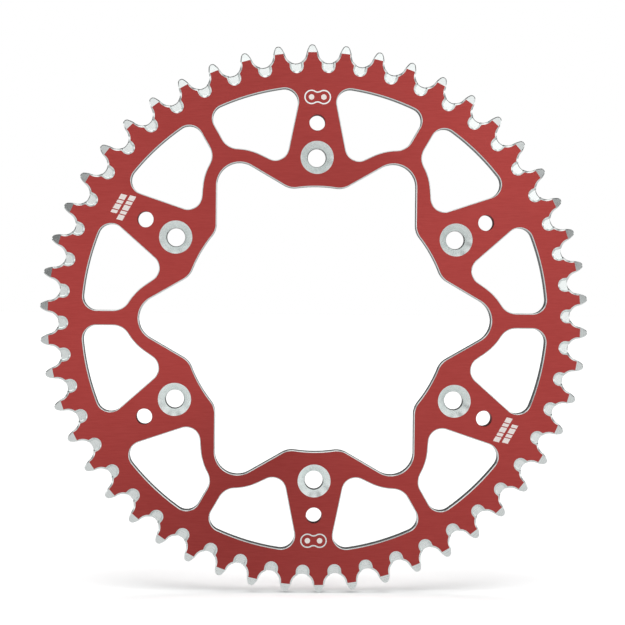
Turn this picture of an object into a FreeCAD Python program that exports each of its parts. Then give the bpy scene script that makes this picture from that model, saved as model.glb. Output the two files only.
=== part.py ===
import FreeCAD, Part
import math
import os

# Rear sprocket of an off-road motorcycle, milled from one aluminium plate.
# It is drawn flat, with the outer face at the top, and stood upright at the end:
# the axle then runs along Y, the outer face looks towards -Y and +Z is up.
# All sizes are in millimetres and all angles in degrees.

# Chain and teeth
TOOTH_COUNT = 50
CHAIN_PITCH = 15.875
ROLLER_DIAMETER = 10.16
ROLLER_CLEARANCE = 0.05
FIRST_GULLET_ANGLE = 30.0
SEAT_HALF_ANGLE = 76.0
FLANK_RADIUS = 13.0
TIP_RADIUS = 130.0
TIP_BEVEL_START = 126.0
TIP_BEVEL_DEPTH = 1.8

# Plate
THICKNESS = 6.0
EDGE_CHAMFER = 0.4

# Broken edge along each gullet, so that the chain's side plates slide in
WING_CHAMFER_RADIUS = 5.8
WING_CHAMFER_INSET = 0.5
WING_CHAMFER_DEPTH = 1.2

# Mud pocket milled into the outer face at each gullet: a wide flare, then a steep wall
POCKET_END_RADIUS = 119.65
POCKET_HALF_WIDTH = 3.25
POCKET_WALL_HALF_WIDTH = 2.5
POCKET_FLOOR_HALF_WIDTH = 2.1
POCKET_DEPTH = 2.0

# Hub side: six bolt holes on tabs that sit on the hub's pilot
BOLT_COUNT = 6
FIRST_BOLT_ANGLE = 30.0
BOLT_CIRCLE_RADIUS = 76.5
BOLT_HOLE_RADIUS = 4.25
COUNTERSINK_RADIUS = 7.8
SMALL_HOLE_CIRCLE_RADIUS = 92.9
SMALL_HOLE_RADIUS = 3.75
PILOT_RADIUS = 62.75
TAB_CORNER_RADIUS = 9.5

# Lobes of the central opening, one between each two tabs
LOBE_SIDE_LEAN = 30.0
LOBE_SIDE_DISTANCE = 47.1
LOBE_END_RADIUS = 10.75

# Windows between the spokes, a mirrored pair about each lobe
RING_INNER_RADIUS = 110.0
BAR_HALF_WIDTH = 3.6
SPOKE_EDGE_LEAN = 11.5
SPOKE_EDGE_DISTANCE = 29.25
STRUT_EDGE_LEAN = 34.5
STRUT_ARC_RADIUS = 27.1
STRUT_ARC_CENTRE = (65.2, -6.6)
WINDOW_CORNER_RADIUS = 6.4
BAR_FOOT_RADIUS = 8.3

# Worked out from the sizes above
TOOTH_ANGLE = 360.0 / TOOTH_COUNT
BOLT_ANGLE = 360.0 / BOLT_COUNT
PITCH_RADIUS = CHAIN_PITCH / (2 * math.sin(math.radians(TOOTH_ANGLE / 2)))
SEAT_RADIUS = ROLLER_DIAMETER / 2 + ROLLER_CLEARANCE
FACE = THICKNESS / 2
OVERSHOOT = 1.0
SAME_PLACE = 0.01
UP = FreeCAD.Vector(0, 0, 1)
CENTRE = FreeCAD.Vector(0, 0, 0)


def polar(radius, angle, height=0.0):
    """Point at a radius and an angle about the axle."""
    bearing = math.radians(angle)
    return FreeCAD.Vector(radius * math.cos(bearing), radius * math.sin(bearing), height)


def arc(start, middle, end):
    return Part.Arc(start, middle, end).toShape()


def arc_about(centre, radius, start, end):
    """The shorter arc about a centre from one point to another."""
    outward = (start + end) * 0.5 - centre
    return arc(start, centre + outward.normalize() * radius, end)


def turned(shape, angle):
    """Copy of a shape turned about the axle."""
    return shape.rotated(CENTRE, UP, angle)


def all_round(shape, count, first_angle=0.0):
    """Copies of a shape, evenly spaced about the axle."""
    return [turned(shape, first_angle + index * 360.0 / count) for index in range(count)]


def through_plate(outline):
    """Solid that runs through the plate and past both faces."""
    height = THICKNESS + 2 * OVERSHOOT
    solid = Part.Face(outline).extrude(UP * height)
    solid.translate(UP * (-height / 2))
    return solid


def cylinder_through(radius, centre):
    return through_plate(Part.Wire(Part.makeCircle(radius, centre)))


def upright_edges_at(solid, points):
    """Edges of a straight-sided solid that stand over the given points."""
    found = []
    for edge in solid.Edges:
        ends = [vertex.Point for vertex in edge.Vertexes]
        if len(ends) < 2 or abs(ends[0].z - ends[1].z) < THICKNESS:
            continue
        foot = FreeCAD.Vector(ends[0].x, ends[0].y, 0)
        if min(foot.distanceToPoint(point) for point in points) < SAME_PLACE:
            found.append(edge)
    return found


def tooth_pitch_edges():
    """Outline of one gullet and the tooth after it, with the gullet on the X axis."""
    seat_centre = polar(PITCH_RADIUS, 0)
    bottom = polar(PITCH_RADIUS - SEAT_RADIUS, 0)
    towards_flank = polar(1, 180 - SEAT_HALF_ANGLE)
    seat_end = seat_centre + towards_flank * SEAT_RADIUS
    seat_start = FreeCAD.Vector(seat_end.x, -seat_end.y, 0)

    # The flank bulges the other way and carries on into the round tooth tip.
    flank_centre = seat_centre + towards_flank * (SEAT_RADIUS + FLANK_RADIUS)
    tooth_direction = polar(1, TOOTH_ANGLE / 2)
    reach = flank_centre.dot(tooth_direction)
    excess = FLANK_RADIUS - TIP_RADIUS
    tip_centre_radius = (flank_centre.dot(flank_centre) - excess ** 2) / (2 * (excess + reach))
    tip_centre = tooth_direction * tip_centre_radius
    flank_end = flank_centre + (tip_centre - flank_centre).normalize() * FLANK_RADIUS
    tip = tooth_direction * TIP_RADIUS

    rising_flank = arc_about(flank_centre, FLANK_RADIUS, seat_end, flank_end)
    falling_flank = turned(rising_flank.mirror(CENTRE, FreeCAD.Vector(0, 1, 0)), TOOTH_ANGLE)
    tip_end = turned(Part.Vertex(FreeCAD.Vector(flank_end.x, -flank_end.y, 0)), TOOTH_ANGLE).Point
    return [
        arc(seat_start, bottom, seat_end),
        rising_flank,
        arc(flank_end, tip, tip_end),
        falling_flank,
    ]


def toothed_plate():
    """Full disc with the teeth cut, their tips bevelled on both faces."""
    edges = []
    for index in range(TOOTH_COUNT):
        edges += [turned(edge, FIRST_GULLET_ANGLE + index * TOOTH_ANGLE) for edge in tooth_pitch_edges()]
    plate = Part.Face(Part.Wire(edges)).extrude(UP * THICKNESS)
    plate.translate(UP * -FACE)

    slope = TIP_BEVEL_DEPTH / (TIP_RADIUS - TIP_BEVEL_START)
    rim_radius = TIP_RADIUS + OVERSHOOT
    rim_height = FACE - slope * (rim_radius - TIP_BEVEL_START)
    section = [
        FreeCAD.Vector(0, 0, -FACE),
        FreeCAD.Vector(TIP_BEVEL_START, 0, -FACE),
        FreeCAD.Vector(rim_radius, 0, -rim_height),
        FreeCAD.Vector(rim_radius, 0, rim_height),
        FreeCAD.Vector(TIP_BEVEL_START, 0, FACE),
        FreeCAD.Vector(0, 0, FACE),
    ]
    bevelled_disc = Part.Face(Part.makePolygon(section + section[:1])).revolve(CENTRE, UP, 360)
    return plate.common(bevelled_disc)


def central_opening():
    """Pilot circle with a blunt lobe between each two bolt tabs."""
    side_direction = 90 - LOBE_SIDE_LEAN
    lobe_centre = polar((LOBE_SIDE_DISTANCE - LOBE_END_RADIUS) / math.cos(math.radians(side_direction)), 0)
    corner_angle = side_direction - math.degrees(math.acos(LOBE_SIDE_DISTANCE / PILOT_RADIUS))
    corner = polar(PILOT_RADIUS, corner_angle)
    shoulder = lobe_centre + polar(LOBE_END_RADIUS, side_direction)
    tab_middle = polar(PILOT_RADIUS, BOLT_ANGLE / 2)
    next_corner = polar(PILOT_RADIUS, BOLT_ANGLE - corner_angle)

    lobe = [
        Part.makeLine(FreeCAD.Vector(corner.x, -corner.y, 0), FreeCAD.Vector(shoulder.x, -shoulder.y, 0)),
        arc(FreeCAD.Vector(shoulder.x, -shoulder.y, 0), lobe_centre + polar(LOBE_END_RADIUS, 0), shoulder),
        Part.makeLine(shoulder, corner),
        arc(corner, tab_middle, next_corner),
    ]
    edges = []
    corners = []
    for index in range(BOLT_COUNT):
        edges += [turned(edge, index * BOLT_ANGLE) for edge in lobe]
        corners += [
            polar(PILOT_RADIUS, index * BOLT_ANGLE + corner_angle),
            polar(PILOT_RADIUS, index * BOLT_ANGLE - corner_angle),
        ]
    opening = through_plate(Part.Wire(edges))
    return opening.makeFillet(TAB_CORNER_RADIUS, upright_edges_at(opening, corners))


def crossing(first_direction, first_distance, second_direction, second_distance):
    """Crossing of two lines, each given by its normal's direction and its distance from the axle."""
    first = polar(1, first_direction)
    second = polar(1, second_direction)
    spread = first.x * second.y - first.y * second.x
    x = (first_distance * second.y - second_distance * first.y) / spread
    y = (first.x * second_distance - second.x * first_distance) / spread
    return FreeCAD.Vector(x, y, 0)


def window():
    """Window between a lobe, which points along X, and the spoke half a bolt angle on."""
    spoke_direction = BOLT_ANGLE / 2 - 90 + SPOKE_EDGE_LEAN
    strut_direction = 90 - STRUT_EDGE_LEAN
    arc_centre = FreeCAD.Vector(STRUT_ARC_CENTRE[0], STRUT_ARC_CENTRE[1], 0)
    strut_distance = arc_centre.dot(polar(1, strut_direction)) + STRUT_ARC_RADIUS

    tab_corner = crossing(spoke_direction, SPOKE_EDGE_DISTANCE, strut_direction, strut_distance)
    arc_start = arc_centre + polar(STRUT_ARC_RADIUS, strut_direction)
    foot_rise = BAR_HALF_WIDTH - arc_centre.y
    foot_reach = math.sqrt(STRUT_ARC_RADIUS ** 2 - foot_rise ** 2)
    bar_foot = FreeCAD.Vector(arc_centre.x + foot_reach, BAR_HALF_WIDTH, 0)
    bar_head = FreeCAD.Vector(math.sqrt(RING_INNER_RADIUS ** 2 - BAR_HALF_WIDTH ** 2), BAR_HALF_WIDTH, 0)
    spoke_head_angle = spoke_direction + math.degrees(math.acos(SPOKE_EDGE_DISTANCE / RING_INNER_RADIUS))
    spoke_head = polar(RING_INNER_RADIUS, spoke_head_angle)

    outline = Part.Wire([
        Part.makeLine(tab_corner, arc_start),
        arc_about(arc_centre, STRUT_ARC_RADIUS, arc_start, bar_foot),
        Part.makeLine(bar_foot, bar_head),
        arc_about(CENTRE, RING_INNER_RADIUS, bar_head, spoke_head),
        Part.makeLine(spoke_head, tab_corner),
    ])
    solid = through_plate(outline)
    solid = solid.makeFillet(BAR_FOOT_RADIUS, upright_edges_at(solid, [bar_foot]))
    other_corners = upright_edges_at(solid, [tab_corner, bar_head, spoke_head])
    return solid.makeFillet(WINDOW_CORNER_RADIUS, other_corners)


def windows():
    one = window()
    other = one.mirror(CENTRE, FreeCAD.Vector(0, 1, 0))
    return all_round(one, BOLT_COUNT) + all_round(other, BOLT_COUNT)


def with_broken_edges(plate):
    """Small chamfers round the opening and the windows, on both faces."""
    edges = []
    for edge in plate.Edges:
        level = edge.BoundBox.ZLength < SAME_PLACE
        radius = math.hypot(edge.CenterOfMass.x, edge.CenterOfMass.y)
        if level and radius < RING_INNER_RADIUS:
            edges.append(edge)
    return plate.makeChamfer(EDGE_CHAMFER, edges)


def mud_pocket():
    """Cutter for a round-ended pocket, open to the gullet on the X axis."""
    flare_depth = POCKET_HALF_WIDTH - POCKET_WALL_HALF_WIDTH
    floor = FACE - POCKET_DEPTH
    top = FACE + OVERSHOOT
    half_section = [
        (0, floor),
        (POCKET_FLOOR_HALF_WIDTH, floor),
        (POCKET_WALL_HALF_WIDTH, FACE - flare_depth),
        (POCKET_HALF_WIDTH + OVERSHOOT, top),
        (0, top),
    ]
    half_points = [FreeCAD.Vector(0, across, height) for across, height in half_section]
    round_end = Part.Face(Part.makePolygon(half_points + half_points[:1])).revolve(CENTRE, UP, 360)
    mirrored_points = [FreeCAD.Vector(0, -point.y, point.z) for point in reversed(half_points[1:-1])]
    full_points = half_points[1:-1] + mirrored_points
    channel = Part.Face(Part.makePolygon(full_points + full_points[:1])).extrude(
        FreeCAD.Vector(PITCH_RADIUS - POCKET_END_RADIUS, 0, 0))
    cutter = round_end.fuse(channel).removeSplitter()
    cutter.translate(polar(POCKET_END_RADIUS, 0))
    return cutter


def wing_chamfer():
    """Cone that breaks the outer-face edge of the gullet on the X axis."""
    low = FACE - WING_CHAMFER_DEPTH
    return Part.makeCone(
        WING_CHAMFER_RADIUS - WING_CHAMFER_DEPTH,
        WING_CHAMFER_RADIUS + OVERSHOOT,
        WING_CHAMFER_DEPTH + OVERSHOOT,
        polar(PITCH_RADIUS - WING_CHAMFER_INSET, 0, low),
    )


def bolt_hole():
    """Through hole with a right-angled countersink in the outer face."""
    sink_depth = COUNTERSINK_RADIUS - BOLT_HOLE_RADIUS
    sink = Part.makeCone(
        BOLT_HOLE_RADIUS,
        COUNTERSINK_RADIUS + OVERSHOOT,
        sink_depth + OVERSHOOT,
        polar(BOLT_CIRCLE_RADIUS, 0, FACE - sink_depth),
    )
    return cylinder_through(BOLT_HOLE_RADIUS, polar(BOLT_CIRCLE_RADIUS, 0)).fuse(sink)


def small_hole():
    return cylinder_through(SMALL_HOLE_RADIUS, polar(SMALL_HOLE_CIRCLE_RADIUS, 0))


def sprocket():
    plate = toothed_plate().cut(windows() + [central_opening()])
    plate = with_broken_edges(plate)
    outer_wing = wing_chamfer()
    inner_wing = outer_wing.mirror(CENTRE, UP)
    cutters = []
    for gullet_cutter in (mud_pocket(), outer_wing, inner_wing):
        cutters += all_round(gullet_cutter, TOOTH_COUNT, FIRST_GULLET_ANGLE)
    for hub_cutter in (bolt_hole(), small_hole()):
        cutters += all_round(hub_cutter, BOLT_COUNT, FIRST_BOLT_ANGLE)
    plate = plate.cut(cutters).removeSplitter()
    return plate.Solids[0].rotated(CENTRE, FreeCAD.Vector(1, 0, 0), 90)


os.makedirs("parts", exist_ok=True)
sprocket().exportStep("parts/sprocket.step")
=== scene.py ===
import math

import bmesh
import bpy
from mathutils import Matrix, Vector


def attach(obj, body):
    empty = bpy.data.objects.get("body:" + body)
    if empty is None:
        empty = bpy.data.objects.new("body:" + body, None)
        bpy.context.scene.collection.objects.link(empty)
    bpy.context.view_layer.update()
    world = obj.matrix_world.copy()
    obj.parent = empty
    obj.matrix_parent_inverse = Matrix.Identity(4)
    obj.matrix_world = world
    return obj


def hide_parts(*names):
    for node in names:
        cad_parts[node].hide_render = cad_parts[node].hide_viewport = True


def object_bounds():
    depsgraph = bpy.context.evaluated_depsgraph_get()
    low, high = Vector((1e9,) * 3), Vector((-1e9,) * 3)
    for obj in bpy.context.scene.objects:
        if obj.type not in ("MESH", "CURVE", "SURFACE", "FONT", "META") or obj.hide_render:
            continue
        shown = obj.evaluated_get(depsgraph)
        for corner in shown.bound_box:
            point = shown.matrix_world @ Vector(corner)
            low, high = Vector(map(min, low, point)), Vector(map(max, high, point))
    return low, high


# Looks of a motorcycle's rear sprocket: one aluminium plate, red anodised on its faces and
# bare where it was machined afterwards. The axle runs along Y and the outer face looks to -Y.
# Lengths are in metres and angles in degrees, unless a name says otherwise.
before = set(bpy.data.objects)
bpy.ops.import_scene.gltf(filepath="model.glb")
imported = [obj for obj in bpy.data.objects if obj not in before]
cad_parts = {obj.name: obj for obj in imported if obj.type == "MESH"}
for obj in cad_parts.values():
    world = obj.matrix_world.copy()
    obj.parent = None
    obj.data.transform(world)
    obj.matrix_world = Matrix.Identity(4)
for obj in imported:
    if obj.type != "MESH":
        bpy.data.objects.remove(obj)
cad_low, cad_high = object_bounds()
MM = 0.001

# Chain and teeth
TOOTH_COUNT = 50
CHAIN_PITCH = 15.875 * MM
ROLLER_SEAT_RADIUS = 5.13 * MM
SEAT_HALF_ANGLE = 76.0
FLANK_RADIUS = 13.0 * MM
TIP_RADIUS = cad_high.z
TIP_BEVEL_START = 126.0 * MM
TIP_BEVEL_DEPTH = 1.8 * MM
FIRST_GULLET_ANGLE = 30.0
TOOTH_EDGE_WIDTH = 0.5 * MM
TOOTH_EDGE_DEPTH = 0.9 * MM
TOOTH_EDGE_REACH = 1.15

# Broken edge along each gullet, and the mud pocket behind it
WING_RADIUS = 5.8 * MM
WING_INSET = 0.5 * MM
WING_DEPTH = 1.2 * MM
POCKET_END_RADIUS = 119.65 * MM
POCKET_HALF_WIDTH = 3.25 * MM
POCKET_WALL_HALF_WIDTH = 2.5 * MM
POCKET_FLOOR_HALF_WIDTH = 2.1 * MM
POCKET_DEPTH = 2.0 * MM

# Bolt tabs, holes and the central opening
BOLT_COUNT = 6
FIRST_BOLT_ANGLE = 30.0
BOLT_CIRCLE_RADIUS = 76.5 * MM
BOLT_HOLE_RADIUS = 4.25 * MM
COUNTERSINK_DEPTH = 3.55 * MM
BOLT_HOLE_TAPER_WIDTH = 0.35 * MM
BOLT_HOLE_TAPER_DEPTH = 2.0 * MM
SMALL_HOLE_CIRCLE_RADIUS = 92.9 * MM
SMALL_HOLE_RADIUS = 3.75 * MM
HOLE_EDGE_BREAK = 0.12 * MM
PILOT_RADIUS = 62.75 * MM
TAB_CORNER_RADIUS = 9.5 * MM
LOBE_SIDE_DIRECTION = 60.0
LOBE_SIDE_DISTANCE = 47.1 * MM
LOBE_END_RADIUS = 10.75 * MM

# Windows
RING_INNER_RADIUS = 110.0 * MM
BAR_HALF_WIDTH = 3.6 * MM
SPOKE_EDGE_DIRECTION = -48.5
SPOKE_EDGE_DISTANCE = 29.25 * MM
STRUT_EDGE_DIRECTION = 55.5
STRUT_ARC_RADIUS = 27.1 * MM
STRUT_ARC_CENTRE = Vector((65.2 * MM, -6.6 * MM))
WINDOW_CORNER_RADIUS = 6.4 * MM
BAR_FOOT_RADIUS = 8.3 * MM
EDGE_CHAMFER = 0.4 * MM

# Plain etched marks: a chain link on two spokes, and two rows of slanted bars on two others
ETCH_DEPTH = 0.03 * MM
LINK_ANGLES = (90, 270)
LINK_CIRCLE_RADIUS = 104.9 * MM
LINK_PITCH = 5.8 * MM
LINK_END_RADIUS = 3.4 * MM
LINK_WAIST_HALF_WIDTH = 2.6 * MM
LINK_HOLE_RADIUS = 1.3 * MM
LINK_LINE_WIDTH = 0.6 * MM
BAR_ROW_ANGLES = (150, -30)
BAR_ROWS = ((103.4 * MM, 5), (107.4 * MM, 4))
BAR_LENGTHS = (2.6 * MM, 1.6 * MM)
BAR_GAP = 0.5 * MM
BAR_HEIGHT = 2.8 * MM
BAR_SLANT = 0.8 * MM

# Worked out from the sizes above
FACE = cad_high.y
OVERSHOOT = 1.0 * MM
TOOTH_ANGLE = 360 / TOOTH_COUNT
BOLT_ANGLE = 360 / BOLT_COUNT
PITCH_RADIUS = CHAIN_PITCH / (2 * math.sin(math.radians(TOOTH_ANGLE / 2)))
TIP_BEVEL_SLOPE = TIP_BEVEL_DEPTH / (TIP_RADIUS - TIP_BEVEL_START)
AXLE = Vector((0, 0))

# Smoothness of the arcs, and how straight a face must look along Y to count as flat
ARC_STEP = 4.0
LARGE_ARC_STEP = 1.0
LARGE_ARC_RADIUS = 30.0 * MM
SHARP_ANGLE = 18
FLAT_NORMAL = 0.9999
FLAT_TOLERANCE = 0.001 * MM

# Red anodised film on turned metal. Each swing is how far a noise moves a value either way.
RED_DARK = (0.465, 0.062, 0.056)
RED_LIGHT = (0.55, 0.084, 0.077)
RED_MIDDLE = 0.5
RED_ROUGHNESS = 0.5
RED_ANISOTROPY = 0.9
FILM_GLOSS = 0.1
FILM_ROUGHNESS = 0.2
STREAKS_PER_METRE = (170, 100, 2300)
DYE_PATCHES_PER_METRE = (70, 70, 70)
DYE_DETAIL = 4.0
TURNED_RINGS = (5000, 3, 0)
STREAK_TONE_SWING = 0.25
DYE_TONE_SWING = 0.2
RING_TONE_SWING = 0.12
RING_ROUGHNESS_SWING = 0.03
DYE_ROUGHNESS_SWING = 0.02
RED_BUMP_STRENGTH = 0.06
BUMP_HEIGHT = 0.02 * MM

# Bare aluminium, and the matt metal of the etched marks
BARE_DARK = (0.84, 0.88, 0.87)
BARE_LIGHT = (0.88, 0.92, 0.91)
BARE_ROUGHNESS = 0.28
TONE_PATCHES_PER_METRE = (400, 400, 400)
TONE_DETAIL = 3.0
MILLED_RINGS = (8000, 5, 3000)
MILLED_ROUGHNESS_SWING = 0.02
TONE_ROUGHNESS_SWING = 0.01
BARE_BUMP_STRENGTH = 0.02
ETCH_DARK = (0.84, 0.76, 0.73)
ETCH_LIGHT = (0.98, 0.93, 0.90)
ETCH_ROUGHNESS = (0.5, 0.65)
HATCH_LINES_PER_METRE = (1500, 1500, 8000)

# Level of detail of a fine noise, and the range that most of a noise's values lie in
FINE_DETAIL = 2.0
NOISE_MIDDLE = (0.3, 0.7)

# Camera, which looks at the outer face almost straight on
CAMERA_AIM = Vector((-0.0015, -FACE, 0.0033))
CAMERA_DISTANCE = 0.7324
CAMERA_PITCH = 1.139
CAMERA_YAW = 2.057
CAMERA_ROLL = 0.543
CAMERA_NEAREST = 0.01
LENS_MM = 89.28
SENSOR_MM = 36

# Floor. The metal's reflections see it as a painted glow, which stands in for light off the floor and
# fades between two places behind the plate.
FLOOR_HALF_SIZE = 6.0
FLOOR_COLOUR = (0.9, 0.9, 0.9)
FLOOR_ROUGHNESS = 0.9
FLOOR_GLOW = 0.66
FLOOR_GLOW_FAR = 0.1
FLOOR_FADE_START = 0.2
FLOOR_FADE_END = 0.8

# Surroundings, as seen by the camera, by matt surfaces and by reflections
WHITE = (1, 1, 1, 1)
BACKDROP_BRIGHTNESS = 1.0
MATT_BRIGHTNESS = 0.35
REFLECTED_BRIGHTNESS = 0.07

# Soft white cards that only reflections see. Each has an angle away from straight ahead of the
# outer face, a clock angle (0 is right, 90 is up), an angular reach and a brightness. It fades
# from CARD_CORE out to its reach.
CARD_CORE = 6
CARDS = (
    (28, 0, 30, 1.6),
    (28, 90, 30, 0.8),
    (28, 135, 30, 0.8),
    (55, 62, 30, 0.65),
    (55, 90, 30, 0.5),
    (55, 118, 26, 0.6),
    (82, 0, 30, 0.5),
    (82, 45, 30, 0.8),
    (82, 135, 26, 0.85),
    (94, 180, 28, 1.15),
    (98, 90, 26, 1.3),
    (100, 0, 24, 0.9),
    (112, 45, 22, 0.7),
    (112, 135, 22, 0.5),
    (126, -8, 22, 1.3),
    (126, 188, 22, 1.3),
)

# Broad overhead light
OVERHEAD_AWAY = 82
OVERHEAD_CLOCK = 90
OVERHEAD_WIDTH = 60
OVERHEAD_POWER = 3.0

# Material slots of the plate's mesh
ANODISED, BARE, ETCHED = range(3)


def polar(radius, angle):
    """Point of the plate's plane at a radius and an angle about the axle."""
    return Vector((math.cos(math.radians(angle)), math.sin(math.radians(angle)))) * radius


def direction_of(vector):
    return math.degrees(math.atan2(vector.y, vector.x))


def arc(centre, radius, start, end):
    """Points and outward normals along an arc. It bulges out if end > start, and in if not."""
    step = LARGE_ARC_STEP if radius > LARGE_ARC_RADIUS else ARC_STEP
    count = max(2, math.ceil(abs(end - start) / step))
    side = 1 if end > start else -1
    outline = []
    for index in range(count + 1):
        ray = polar(1, start + (end - start) * index / count)
        outline.append((centre + ray * radius, ray * side))
    return outline


def turned_point(point, angle):
    return Matrix.Rotation(math.radians(angle), 2) @ point


def turned(outline, angle):
    """The outline turned about the axle."""
    return [(turned_point(point, angle), turned_point(normal, angle)) for point, normal in outline]


def mirrored(outline):
    """The outline mirrored about the X axis, still running the same way round."""
    return [
        (Vector((point.x, -point.y)), Vector((normal.x, -normal.y)))
        for point, normal in reversed(outline)
    ]


def all_round(outline, count, first_angle=0.0):
    return [turned(outline, first_angle + index * 360 / count) for index in range(count)]


def line_crossing(first_direction, first_distance, second_direction, second_distance):
    """Crossing of two lines, each given by its normal and its distance from the axle."""
    first = polar(1, first_direction)
    second = polar(1, second_direction)
    slant = first.cross(second)
    x = (first_distance * second.y - second_distance * first.y) / slant
    y = (first.x * second_distance - second.x * first_distance) / slant
    return Vector((x, y))


def on_line_and_circle(direction, distance, centre, radius, side):
    """Crossing of a line with a circle, on the given side along the line."""
    normal = polar(1, direction)
    to_line = distance - centre.dot(normal)
    along = polar(1, direction + 90) * side * math.sqrt(radius ** 2 - to_line ** 2)
    return centre + normal * to_line + along


def seat_breaks():
    """Angles on the roller seat, from its bottom, where the pocket's flare, wall and floor end."""
    widths = (POCKET_HALF_WIDTH, POCKET_WALL_HALF_WIDTH, POCKET_FLOOR_HALF_WIDTH)
    rim = ROLLER_SEAT_RADIUS + TOOTH_EDGE_WIDTH
    return [math.degrees(math.asin(width / rim)) for width in widths]


def tooth_outline():
    """One gullet, centred on the X axis, and the tooth after it."""
    half_pitch = TOOTH_ANGLE / 2
    seat_centre = polar(PITCH_RADIUS, 0)
    flank_direction = 180 - SEAT_HALF_ANGLE
    flank_centre = seat_centre + polar(ROLLER_SEAT_RADIUS + FLANK_RADIUS, flank_direction)
    reach = flank_centre.dot(polar(1, half_pitch))
    excess = FLANK_RADIUS - TIP_RADIUS
    tip_centre_radius = (flank_centre.length_squared - excess ** 2) / (2 * (excess + reach))
    tip_centre = polar(tip_centre_radius, half_pitch)
    tip_start = direction_of(tip_centre - flank_centre)

    half_seat = []
    for start, end in zip([SEAT_HALF_ANGLE] + seat_breaks(), seat_breaks() + [0]):
        half_seat += arc(seat_centre, ROLLER_SEAT_RADIUS, 180 + start, 180 + end)[:-1]
    bottom = (seat_centre + polar(ROLLER_SEAT_RADIUS, 180), polar(-1, 180))
    seat = half_seat + [bottom] + mirrored(half_seat)
    flank = arc(flank_centre, FLANK_RADIUS, flank_direction - 180, tip_start)
    tip = arc(tip_centre, TIP_RADIUS - tip_centre_radius, tip_start, TOOTH_ANGLE - tip_start)
    falling_flank = turned(mirrored(flank), TOOTH_ANGLE)
    return seat + flank[1:] + tip[1:] + falling_flank[1:-1]


def opening_outline():
    """Central opening: pilot arcs on the bolt tabs, with a blunt lobe between each two."""
    lobe_centre = polar(
        (LOBE_SIDE_DISTANCE - LOBE_END_RADIUS) / math.cos(math.radians(LOBE_SIDE_DIRECTION)), 0)
    corner_centre = on_line_and_circle(
        LOBE_SIDE_DIRECTION, LOBE_SIDE_DISTANCE + TAB_CORNER_RADIUS,
        AXLE, PILOT_RADIUS + TAB_CORNER_RADIUS, -1)
    corner_angle = direction_of(corner_centre)
    lobe = arc(lobe_centre, LOBE_END_RADIUS, -LOBE_SIDE_DIRECTION, LOBE_SIDE_DIRECTION)
    corner = arc(corner_centre, TAB_CORNER_RADIUS, LOBE_SIDE_DIRECTION + 180, corner_angle + 180)
    pilot = arc(AXLE, PILOT_RADIUS, corner_angle, BOLT_ANGLE - corner_angle)
    next_corner = turned(mirrored(corner), BOLT_ANGLE)
    sixth = lobe + corner + pilot[1:-1] + next_corner
    return sum(all_round(sixth, BOLT_COUNT), [])


def window_outline():
    """Window between a lobe, which points along X, and the spoke half a bolt angle on."""
    corner_circle = RING_INNER_RADIUS - WINDOW_CORNER_RADIUS
    spoke_offset = SPOKE_EDGE_DISTANCE + WINDOW_CORNER_RADIUS
    strut_distance = STRUT_ARC_CENTRE.dot(polar(1, STRUT_EDGE_DIRECTION)) + STRUT_ARC_RADIUS
    foot_centre = on_line_and_circle(
        90, BAR_HALF_WIDTH + BAR_FOOT_RADIUS,
        STRUT_ARC_CENTRE, STRUT_ARC_RADIUS + BAR_FOOT_RADIUS, -1)
    bar_head_centre = on_line_and_circle(
        90, BAR_HALF_WIDTH + WINDOW_CORNER_RADIUS, AXLE, corner_circle, -1)
    spoke_head_centre = on_line_and_circle(
        SPOKE_EDGE_DIRECTION, spoke_offset, AXLE, corner_circle, 1)
    tab_centre = line_crossing(
        SPOKE_EDGE_DIRECTION, spoke_offset,
        STRUT_EDGE_DIRECTION, strut_distance + WINDOW_CORNER_RADIUS)

    foot_direction = direction_of(foot_centre - STRUT_ARC_CENTRE)
    ring_start = direction_of(bar_head_centre)
    ring_end = direction_of(spoke_head_centre)
    spoke_side = SPOKE_EDGE_DIRECTION + 180
    strut_side = STRUT_EDGE_DIRECTION + 180
    foot = arc(foot_centre, BAR_FOOT_RADIUS, foot_direction - 180, -90)
    bar_head = arc(bar_head_centre, WINDOW_CORNER_RADIUS, -90, ring_start)
    ring = arc(AXLE, RING_INNER_RADIUS, ring_start, ring_end)
    spoke_head = arc(spoke_head_centre, WINDOW_CORNER_RADIUS, ring_end, spoke_side)
    tab = arc(tab_centre, WINDOW_CORNER_RADIUS, spoke_side, strut_side)
    strut = arc(STRUT_ARC_CENTRE, STRUT_ARC_RADIUS, STRUT_EDGE_DIRECTION, foot_direction)
    return foot + bar_head + ring[1:-1] + spoke_head + tab + strut[:-1]


def circle_outline(radius, centre):
    return arc(centre, radius, 0, 360)[:-1]


def pocket_outline():
    """Round-ended slot from the rim into the gullet on the X axis."""
    inner = arc(polar(POCKET_END_RADIUS, 0), POCKET_FLOOR_HALF_WIDTH, 90, 270)
    outer = arc(polar(PITCH_RADIUS, 0), POCKET_FLOOR_HALF_WIDTH, -90, 90)
    return inner + outer


def rings_of(outline, levels):
    """The outline at each (y, outset) level, as rings of points."""
    rings = []
    for y, outset in levels:
        places = [point + normal * outset for point, normal in outline]
        rings.append([Vector((place.x, y, place.y)) for place in places])
    return rings


def add_loft(mesh, rings, material):
    """Adds a closed solid: walls from each ring of points to the next, and a cap at each end."""
    loops = [[mesh.verts.new(place) for place in ring] for ring in rings]
    faces = [mesh.faces.new(loops[0]), mesh.faces.new(reversed(loops[-1]))]
    for lower, upper in zip(loops, loops[1:]):
        for index in range(len(lower)):
            after = (index + 1) % len(lower)
            faces.append(mesh.faces.new((lower[index], upper[index], upper[after], lower[after])))
    for face in faces:
        face.material_index = material


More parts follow.
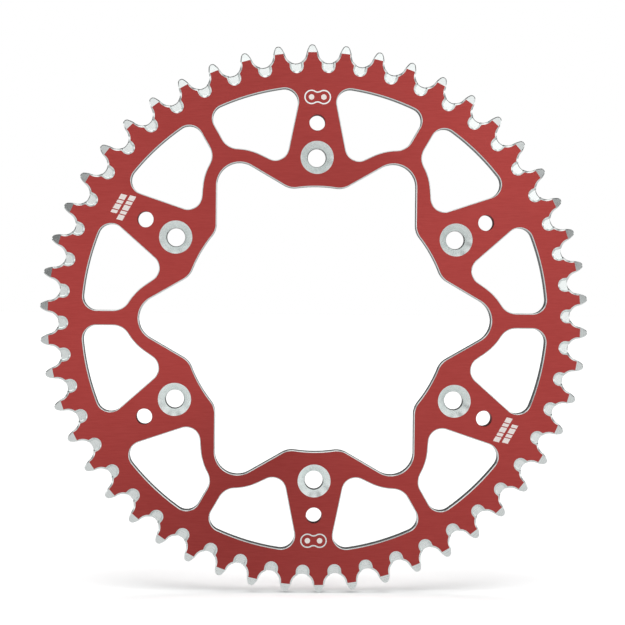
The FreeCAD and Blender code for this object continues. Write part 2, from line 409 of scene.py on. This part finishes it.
def solid(name, lofts):
    """Object made of separate lofted solids, each a pair of rings and material slot."""
    mesh = bmesh.new()
    for rings, material in lofts:
        add_loft(mesh, rings, material)
    bmesh.ops.recalc_face_normals(mesh, faces=mesh.faces)
    data = bpy.data.meshes.new(name)
    mesh.to_mesh(data)
    mesh.free()
    for material in plate_materials:
        data.materials.append(material)
    piece = bpy.data.objects.new(name, data)
    bpy.context.scene.collection.objects.link(piece)
    return piece


def combine(piece, other, operation):
    """Applies a boolean to the piece and removes the other object."""
    modifier = piece.modifiers.new(operation, "BOOLEAN")
    modifier.operation = operation
    modifier.solver = "MANIFOLD"
    modifier.object = other
    graph = bpy.context.evaluated_depsgraph_get()
    data = bpy.data.meshes.new_from_object(piece.evaluated_get(graph), depsgraph=graph)
    piece.modifiers.clear()
    piece.data = data
    bpy.data.objects.remove(other)


def gullet_depth(point, with_pocket):
    """How far the finished surface lies below the face, at a point of the plate's plane."""
    pitches = round((direction_of(point) - FIRST_GULLET_ANGLE) / TOOTH_ANGLE)
    point = turned_point(point, -FIRST_GULLET_ANGLE - pitches * TOOTH_ANGLE)
    bevel = (point.length - TIP_BEVEL_START) * TIP_BEVEL_SLOPE
    wing = WING_RADIUS - (point - polar(PITCH_RADIUS - WING_INSET, 0)).length
    depth = max(0, bevel, min(wing, WING_DEPTH))
    if not with_pocket or point.length > PITCH_RADIUS:
        return depth
    across = abs(point.y)
    flare_depth = POCKET_HALF_WIDTH - POCKET_WALL_HALF_WIDTH
    wall_width = POCKET_WALL_HALF_WIDTH - POCKET_FLOOR_HALF_WIDTH
    wall_share = min(1, (POCKET_WALL_HALF_WIDTH - across) / wall_width)
    flare = min(POCKET_HALF_WIDTH - across, flare_depth)
    wall = wall_share * (POCKET_DEPTH - flare_depth)
    return max(depth, flare + max(0, wall))


def tooth_levels(point, normal):
    """Places through the thickness at one point of the teeth, with both edges broken.

    The narrow steep chamfer starts from wherever the bevels, wings and pocket leave the surface.
    The boolean cuts that make those take away what stands above them."""
    rim = point - normal * TOOTH_EDGE_WIDTH
    inner = point - normal * TOOTH_EDGE_WIDTH * TOOTH_EDGE_REACH
    rise = TOOTH_EDGE_DEPTH * (TOOTH_EDGE_REACH - 1)
    outer_depth = gullet_depth(rim, True)
    hub_depth = gullet_depth(rim, False)
    return [
        (inner, -FACE - OVERSHOOT),
        (inner, -FACE + outer_depth - rise),
        (point, -FACE + outer_depth + TOOTH_EDGE_DEPTH),
        (point, FACE - hub_depth - TOOTH_EDGE_DEPTH),
        (inner, FACE - hub_depth + rise),
        (inner, FACE + OVERSHOOT),
    ]


def toothed_disc():
    teeth = sum(all_round(tooth_outline(), TOOTH_COUNT, FIRST_GULLET_ANGLE), [])
    columns = [tooth_levels(point, normal) for point, normal in teeth]
    rings = [[Vector((place.x, y, place.y)) for place, y in ring] for ring in zip(*columns)]
    return solid("sprocket_plate", [(rings, BARE)])


def bevelled_disc():
    """Full disc whose rim slopes as the tooth tips do."""
    rim = TIP_RADIUS + OVERSHOOT - TIP_BEVEL_START
    drop = rim * TIP_BEVEL_SLOPE
    levels = [(-FACE, 0), (-FACE + drop, rim), (FACE - drop, rim), (FACE, 0)]
    return solid("tip_bevels", [(rings_of(circle_outline(TIP_BEVEL_START, AXLE), levels), BARE)])


def both_edges_broken(width):
    """Levels of a straight cutter that breaks its edges on both faces."""
    above = FACE + OVERSHOOT
    return [
        (-above, width + OVERSHOOT),
        (-FACE + width, 0),
        (FACE - width, 0),
        (above, width + OVERSHOOT),
    ]


def through_cutters():
    """Central opening, windows, bolt holes and small holes."""
    window = window_outline()
    windows = all_round(window, BOLT_COUNT) + all_round(mirrored(window), BOLT_COUNT)
    broken = both_edges_broken(EDGE_CHAMFER)
    lofts = [(rings_of(outline, broken), BARE) for outline in [opening_outline()] + windows]

    countersunk = [
        (-FACE - OVERSHOOT, COUNTERSINK_DEPTH + OVERSHOOT),
        (-FACE + COUNTERSINK_DEPTH - BOLT_HOLE_TAPER_WIDTH, BOLT_HOLE_TAPER_WIDTH),
        (-FACE + COUNTERSINK_DEPTH - BOLT_HOLE_TAPER_WIDTH + BOLT_HOLE_TAPER_DEPTH, 0),
        (FACE - HOLE_EDGE_BREAK, 0),
        (FACE + OVERSHOOT, HOLE_EDGE_BREAK + OVERSHOOT),
    ]
    bolt_hole = circle_outline(BOLT_HOLE_RADIUS, polar(BOLT_CIRCLE_RADIUS, 0))
    small_hole = circle_outline(SMALL_HOLE_RADIUS, polar(SMALL_HOLE_CIRCLE_RADIUS, 0))
    for outline in all_round(bolt_hole, BOLT_COUNT, FIRST_BOLT_ANGLE):
        lofts.append((rings_of(outline, countersunk), BARE))
    for outline in all_round(small_hole, BOLT_COUNT, FIRST_BOLT_ANGLE):
        lofts.append((rings_of(outline, both_edges_broken(HOLE_EDGE_BREAK)), ANODISED))
    return solid("through_cutters", lofts)


def pocket_cutters():
    levels = [
        (-FACE - OVERSHOOT, POCKET_HALF_WIDTH - POCKET_FLOOR_HALF_WIDTH + OVERSHOOT),
        (-FACE + POCKET_HALF_WIDTH - POCKET_WALL_HALF_WIDTH,
         POCKET_WALL_HALF_WIDTH - POCKET_FLOOR_HALF_WIDTH),
        (-FACE + POCKET_DEPTH, 0),
    ]
    pockets = all_round(pocket_outline(), TOOTH_COUNT, FIRST_GULLET_ANGLE)
    return solid("pocket_cutters", [(rings_of(outline, levels), BARE) for outline in pockets])


def wing_cutters():
    """Cones that break both faces' edges along the gullets."""
    circle = circle_outline(WING_RADIUS - WING_DEPTH, polar(PITCH_RADIUS - WING_INSET, 0))
    lofts = []
    for side in (-1, 1):
        levels = [
            (side * (FACE + OVERSHOOT), WING_DEPTH + OVERSHOOT),
            (side * (FACE - WING_DEPTH), 0),
        ]
        for outline in all_round(circle, TOOTH_COUNT, FIRST_GULLET_ANGLE):
            lofts.append((rings_of(outline, levels), BARE))
    return solid("wing_cutters", lofts)


def link_plate_outline(inset):
    """Side plate of a chain link, lying along Y: two round ends and a narrower waist."""
    end_radius = LINK_END_RADIUS - inset
    waist = LINK_WAIST_HALF_WIDTH - inset
    reach = LINK_PITCH / 2
    waist_radius = (waist ** 2 + reach ** 2 - end_radius ** 2) / (2 * (end_radius - waist))
    lean = math.degrees(math.asin(reach / (end_radius + waist_radius)))
    side = Vector((waist + waist_radius, 0))
    upper = arc(Vector((0, reach)), end_radius, -lean, 180 + lean)
    left = arc(-side, waist_radius, lean, -lean)
    lower = arc(Vector((0, -reach)), end_radius, 180 - lean, 360 + lean)
    right = arc(side, waist_radius, 180 + lean, 180 - lean)
    return upper + left[1:] + lower[1:] + right[1:-1]


def bar_outline(length):
    """Slanted bar, its length along Y and its height along X."""
    half_height = BAR_HEIGHT / 2
    half_slant = BAR_SLANT / 2
    corners = [
        (-half_height, -half_slant),
        (half_height, half_slant),
        (half_height, length + half_slant),
        (-half_height, length - half_slant),
    ]
    return [(Vector(corner), Vector((0, 0))) for corner in corners]


def moved(outline, x, y):
    return [(point + Vector((x, y)), normal) for point, normal in outline]


def bar_row(circle_radius, count):
    """Outlines of a row of bars across the X axis, long and short in turn."""
    lengths = [BAR_LENGTHS[index % 2] for index in range(count)]
    start = -(sum(lengths) + BAR_GAP * (count - 1)) / 2
    row = []
    for length in lengths:
        row.append(moved(bar_outline(length), circle_radius, start))
        start += length + BAR_GAP
    return row


def etching(name, outlines, material):
    """Solid that cuts the outlines into the outer face and leaves them in a material."""
    levels = [(-FACE - OVERSHOOT, 0), (-FACE + ETCH_DEPTH, 0)]
    return solid(name, [(rings_of(outline, levels), material) for outline in outlines])


def bars_and_link_holes():
    """The matt parts of the marks."""
    outlines = []
    for angle in BAR_ROW_ANGLES:
        for circle_radius, count in BAR_ROWS:
            outlines += [turned(bar, angle) for bar in bar_row(circle_radius, count)]
    for angle in LINK_ANGLES:
        for side in (-1, 1):
            hole_centre = Vector((LINK_CIRCLE_RADIUS, side * LINK_PITCH / 2))
            outlines.append(circle_outline(LINK_HOLE_RADIUS, turned_point(hole_centre, angle)))
    return etching("bars_and_link_holes", outlines, ETCHED)


def link_outlines():
    """Band that follows the edge of each link mark, cut down to bright metal."""
    plates = []
    for inset in (0, LINK_LINE_WIDTH):
        plate = moved(link_plate_outline(inset), LINK_CIRCLE_RADIUS, 0)
        plates.append([turned(plate, angle) for angle in LINK_ANGLES])
    band = etching("link_outlines", plates[0], BARE)
    levels = [(-FACE - 2 * OVERSHOOT, 0), (FACE, 0)]
    insides = solid("link_insides", [(rings_of(outline, levels), BARE) for outline in plates[1]])
    combine(band, insides, "DIFFERENCE")
    return band


def mark_faces(plate):
    """Gives the two flat faces their anodised film."""
    for face in plate.data.polygons:
        on_face = abs(abs(face.center.y) - FACE) < FLAT_TOLERANCE
        if on_face and abs(face.normal.y) > FLAT_NORMAL:
            face.material_index = ANODISED


def add_node(tree, kind, inputs=(), **settings):
    """Adds a node. Each input is a (socket, value) pair, and a value may be another output."""
    node = tree.nodes.new(kind)
    for setting, value in settings.items():
        setattr(node, setting, value)
    for socket, value in inputs:
        if isinstance(value, bpy.types.NodeSocket):
            tree.links.new(value, node.inputs[socket])
        else:
            node.inputs[socket].default_value = value
    return node


def arithmetic(tree, operation, first, second=0.0):
    return add_node(tree, "ShaderNodeMath", [(0, first), (1, second)], operation=operation).outputs[0]


def noise(tree, place, stretch, detail=FINE_DETAIL):
    """Noise from 0 to 1 whose grains measure one over the stretch along each axis."""
    scaled = add_node(tree, "ShaderNodeVectorMath", [(0, place), (1, stretch)], operation="MULTIPLY")
    settings = [("Vector", scaled.outputs[0]), ("Scale", 1.0), ("Detail", detail)]
    return add_node(tree, "ShaderNodeTexNoise", settings).outputs["Fac"]


def spread(tree, value, low, high):
    """Maps the middle part of a noise to the range from low to high."""
    return add_node(tree, "ShaderNodeMapRange", [
        ("Value", value),
        ("From Min", NOISE_MIDDLE[0]),
        ("From Max", NOISE_MIDDLE[1]),
        ("To Min", low),
        ("To Max", high),
    ]).outputs["Result"]


def swung(tree, start, swings):
    """The start value, moved either way by each noise's swing."""
    for value, swing in swings:
        start = arithmetic(tree, "ADD", spread(tree, value, -swing, swing), start)
    return start


def mixed_colour(tree, share, first, second):
    node = add_node(tree, "ShaderNodeMix", data_type="RGBA")
    tree.links.new(share, node.inputs["Factor"])
    colours = [socket for socket in node.inputs if socket.type == "RGBA"]
    colours[0].default_value = (*first, 1)
    colours[1].default_value = (*second, 1)
    return [socket for socket in node.outputs if socket.type == "RGBA"][0]


def object_place(tree):
    return add_node(tree, "ShaderNodeTexCoord").outputs["Object"]


def around_axle(tree, place):
    """Vector of the distance from the axle, the angle about it and the place along it."""
    parts = add_node(tree, "ShaderNodeSeparateXYZ", [(0, place)])
    x, y, z = parts.outputs
    x_squared = arithmetic(tree, "MULTIPLY", x, x)
    z_squared = arithmetic(tree, "MULTIPLY", z, z)
    radius = arithmetic(tree, "SQRT", arithmetic(tree, "ADD", x_squared, z_squared))
    angle = arithmetic(tree, "ARCTAN2", z, x)
    return add_node(tree, "ShaderNodeCombineXYZ", [(0, radius), (1, angle), (2, y)]).outputs[0]


def new_material(name):
    material = bpy.data.materials.new(name)
    material.use_nodes = True
    return material, material.node_tree, material.node_tree.nodes["Principled BSDF"]


def set_shader(shader, **values):
    for name, value in values.items():
        shader.inputs[name.replace("_", " ")].default_value = value


def connect(tree, output, shader, socket):
    tree.links.new(output, shader.inputs[socket])


def chosen_by_ray(tree, kind_of_ray, for_that_ray, for_others):
    """Shader that differs between one kind of ray and all others."""
    path = add_node(tree, "ShaderNodeLightPath")
    return add_node(tree, "ShaderNodeMixShader", [
        (0, path.outputs[kind_of_ray]),
        (1, for_others.outputs[0]),
        (2, for_that_ray.outputs[0]),
    ])


def turned_tangent(tree):
    """Grain direction of a face turned on a lathe about the axle."""
    return add_node(tree, "ShaderNodeTangent", direction_type="RADIAL", axis="Y").outputs[0]


def add_bump(tree, shader, height, strength):
    bump = add_node(tree, "ShaderNodeBump", [
        ("Height", height), ("Strength", strength), ("Distance", BUMP_HEIGHT)])
    connect(tree, bump.outputs[0], shader, "Normal")


def red_anodised():
    """Dyed film on turned metal: fine rings, faint level streaks and a slightly uneven dye."""
    material, tree, shader = new_material("red_anodised")
    set_shader(shader, Metallic=1.0, Anisotropic=RED_ANISOTROPY)
    set_shader(shader, Coat_Weight=FILM_GLOSS, Coat_Roughness=FILM_ROUGHNESS)
    place = object_place(tree)
    streaks = noise(tree, place, STREAKS_PER_METRE)
    dye = noise(tree, place, DYE_PATCHES_PER_METRE, detail=DYE_DETAIL)
    rings = noise(tree, around_axle(tree, place), TURNED_RINGS)
    shade = swung(tree, RED_MIDDLE, [
        (streaks, STREAK_TONE_SWING), (dye, DYE_TONE_SWING), (rings, RING_TONE_SWING)])
    roughness = swung(tree, RED_ROUGHNESS, [
        (rings, RING_ROUGHNESS_SWING), (dye, DYE_ROUGHNESS_SWING)])
    connect(tree, mixed_colour(tree, shade, RED_DARK, RED_LIGHT), shader, "Base Color")
    connect(tree, roughness, shader, "Roughness")
    add_bump(tree, shader, rings, RED_BUMP_STRENGTH)
    connect(tree, turned_tangent(tree), shader, "Tangent")
    return material


def bare_aluminium():
    """Freshly milled metal with tool marks and a slightly uneven polish."""
    material, tree, shader = new_material("bare_aluminium")
    set_shader(shader, Metallic=1.0)
    place = object_place(tree)
    tone = noise(tree, place, TONE_PATCHES_PER_METRE, detail=TONE_DETAIL)
    marks = noise(tree, around_axle(tree, place), MILLED_RINGS)
    shade = spread(tree, tone, 0.0, 1.0)
    roughness = swung(tree, BARE_ROUGHNESS, [
        (marks, MILLED_ROUGHNESS_SWING), (tone, TONE_ROUGHNESS_SWING)])
    connect(tree, mixed_colour(tree, shade, BARE_DARK, BARE_LIGHT), shader, "Base Color")
    connect(tree, roughness, shader, "Roughness")
    add_bump(tree, shader, marks, BARE_BUMP_STRENGTH)
    return material


def laser_etch():
    """Film burnt off in fine hatch lines, which leaves a matt pale surface."""
    material, tree, shader = new_material("laser_etch")
    set_shader(shader, Metallic=1.0)
    hatch = noise(tree, object_place(tree), HATCH_LINES_PER_METRE)
    shade = spread(tree, hatch, 0.0, 1.0)
    connect(tree, mixed_colour(tree, shade, ETCH_DARK, ETCH_LIGHT), shader, "Base Color")
    connect(tree, spread(tree, hatch, *ETCH_ROUGHNESS), shader, "Roughness")
    return material


def sprocket_plate():
    """The whole plate: the teeth first, then everything that is cut out of them."""
    plate = toothed_disc()
    combine(plate, bevelled_disc(), "INTERSECT")
    for cutter in (through_cutters, pocket_cutters, wing_cutters, bars_and_link_holes, link_outlines):
        combine(plate, cutter(), "DIFFERENCE")
    mark_faces(plate)
    plate.data.shade_smooth()
    plate.data.set_sharp_from_angle(angle=math.radians(SHARP_ANGLE))
    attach(plate, "root")
    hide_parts("sprocket")


def add_camera():
    camera = bpy.data.objects.new("camera", bpy.data.cameras.new("camera"))
    bpy.context.scene.collection.objects.link(camera)
    turn = (
        Matrix.Rotation(math.radians(-CAMERA_YAW), 4, "Z")
        @ Matrix.Rotation(math.radians(90 - CAMERA_PITCH), 4, "X")
        @ Matrix.Rotation(math.radians(CAMERA_ROLL), 4, "Z")
    )
    look = turn @ Vector((0, 0, -1))
    camera.matrix_world = Matrix.Translation(CAMERA_AIM - look * CAMERA_DISTANCE) @ turn
    camera.data.lens = LENS_MM
    camera.data.sensor_width = SENSOR_MM
    camera.data.clip_start = CAMERA_NEAREST
    bpy.context.scene.camera = camera


def floor_material():
    """Matt and pale for the camera, and for everything else an even painted glow, standing in for
    light off the floor, that fades backwards.
    """
    material, tree, shader = new_material("floor")
    set_shader(shader, Base_Color=(*FLOOR_COLOUR, 1), Roughness=FLOOR_ROUGHNESS)
    set_shader(shader, Specular_IOR_Level=0.0)
    place = add_node(tree, "ShaderNodeSeparateXYZ", [(0, object_place(tree))])
    strength = add_node(tree, "ShaderNodeMapRange", [
        ("Value", place.outputs["Y"]),
        ("From Min", FLOOR_FADE_START),
        ("From Max", FLOOR_FADE_END),
        ("To Min", FLOOR_GLOW),
        ("To Max", FLOOR_GLOW_FAR),
    ]).outputs["Result"]
    # Painted glow: for reflections the floor shines by itself in place of the light it would reflect.
    glow = add_node(tree, "ShaderNodeEmission", [("Color", WHITE), ("Strength", strength)])
    output = tree.nodes["Material Output"].inputs["Surface"]
    tree.links.new(chosen_by_ray(tree, "Is Camera Ray", shader, glow).outputs[0], output)
    return material


def studio_floor():
    """Plain pale floor that the lowest teeth touch."""
    data = bpy.data.meshes.new("floor")
    half = FLOOR_HALF_SIZE
    corners = [(-half, -half), (half, -half), (half, half), (-half, half)]
    data.from_pydata([(x, y, cad_low.z) for x, y in corners], [], [(0, 1, 2, 3)])
    data.materials.append(floor_material())
    floor = bpy.data.objects.new("floor", data)
    bpy.context.scene.collection.objects.link(floor)


def direction_towards(away, clock):
    """Direction at an angle away from straight ahead of the outer face, and a clock angle."""
    aside = polar(math.sin(math.radians(away)), clock)
    return Vector((aside.x, -math.cos(math.radians(away)), aside.y))


def card(tree, place, away, clock, reach, brightness):
    """Brightness of one soft-edged card, far away in the given direction."""
    sides = [(0, place), (1, direction_towards(away, clock))]
    nearness = add_node(tree, "ShaderNodeVectorMath", sides, operation="DOT_PRODUCT")
    return add_node(tree, "ShaderNodeMapRange", [
        ("Value", nearness.outputs["Value"]),
        ("From Min", math.cos(math.radians(reach))),
        ("From Max", math.cos(math.radians(CARD_CORE))),
        ("To Max", brightness),
    ], interpolation_type="SMOOTHSTEP").outputs["Result"]


def white_background(tree, strength):
    return add_node(tree, "ShaderNodeBackground", [("Color", WHITE), ("Strength", strength)])


def studio_world():
    """White surroundings, with the cards that the metal reflects."""
    world = bpy.data.worlds.new("studio")
    world.use_nodes = True
    tree = world.node_tree
    place = add_node(tree, "ShaderNodeTexCoord").outputs["Generated"]
    cards = REFLECTED_BRIGHTNESS
    for away, clock, reach, brightness in CARDS:
        one = card(tree, place, away, clock, reach, brightness)
        cards = arithmetic(tree, "ADD", one, cards)
    reflected = white_background(tree, cards)
    matt = white_background(tree, MATT_BRIGHTNESS)
    backdrop = white_background(tree, BACKDROP_BRIGHTNESS)
    unseen = chosen_by_ray(tree, "Is Diffuse Ray", matt, reflected)
    seen = chosen_by_ray(tree, "Is Camera Ray", backdrop, unseen)
    tree.links.new(seen.outputs[0], tree.nodes["World Output"].inputs["Surface"])
    bpy.context.scene.world = world


def overhead_light():
    """Broad light above the floor. It makes the soft shadow under the teeth."""
    light = bpy.data.lights.new("overhead", "SUN")
    light.angle = math.radians(OVERHEAD_WIDTH)
    light.energy = OVERHEAD_POWER
    lamp = bpy.data.objects.new("overhead", light)
    shining = -direction_towards(OVERHEAD_AWAY, OVERHEAD_CLOCK)
    lamp.rotation_euler = shining.to_track_quat("-Z", "Y").to_euler()
    lamp.visible_glossy = False
    lamp.visible_camera = False
    bpy.context.scene.collection.objects.link(lamp)


plate_materials = [red_anodised(), bare_aluminium(), laser_etch()]
sprocket_plate()
add_camera()
studio_floor()
studio_world()
overhead_light()
bpy.context.scene.view_settings.view_transform = "Standard"
